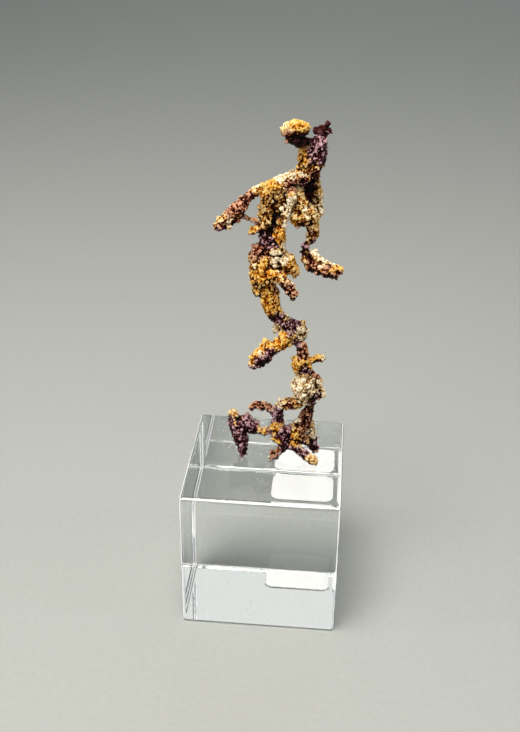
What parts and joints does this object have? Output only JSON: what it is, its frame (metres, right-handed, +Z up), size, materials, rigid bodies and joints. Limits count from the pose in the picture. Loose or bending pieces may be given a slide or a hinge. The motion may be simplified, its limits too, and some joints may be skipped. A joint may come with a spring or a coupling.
{
  "type": "native copper specimen on an acrylic block",
  "caption": "Thin branching native copper growth with ochre, cream and dark crust, standing on its feet on a clear square display block.",
  "frame": {"origin": "middle of the underside of the acrylic block, on the surface it rests on", "axes": "+Z up, from the block to the top of the specimen; -Y towards the front of the specimen, +X to its right"},
  "size_m": [0.03, 0.03, 0.0968],
  "materials": {
    "ochre_crust": "native copper under a rough yellow-ochre limonite crust",
    "cream_crust": "native copper under a chalky cream crust",
    "dark_cuprite": "native copper under dark purple-red sparkling cuprite crystals",
    "rust_crust": "native copper under a red-brown earthy crust",
    "clear_acrylic": "polished clear cast acrylic",
    "label_paper": "blank white self-adhesive paper"
  },
  "bodies": {
    "root": {"foot_cluster": "dark_cuprite", "cone_branch": "dark_cuprite", "arch_branch": "rust_crust", "lower_trunk": "cream_crust", "middle_trunk": "ochre_crust", "side_pod": "ochre_crust", "left_arm": "rust_crust", "upper_trunk": "ochre_crust", "right_arm": "rust_crust", "head_lobe": "ochre_crust", "crown_prong": "dark_cuprite", "acrylic_block": "clear_acrylic", "label": "label_paper"}
  },
  "joints": []
}
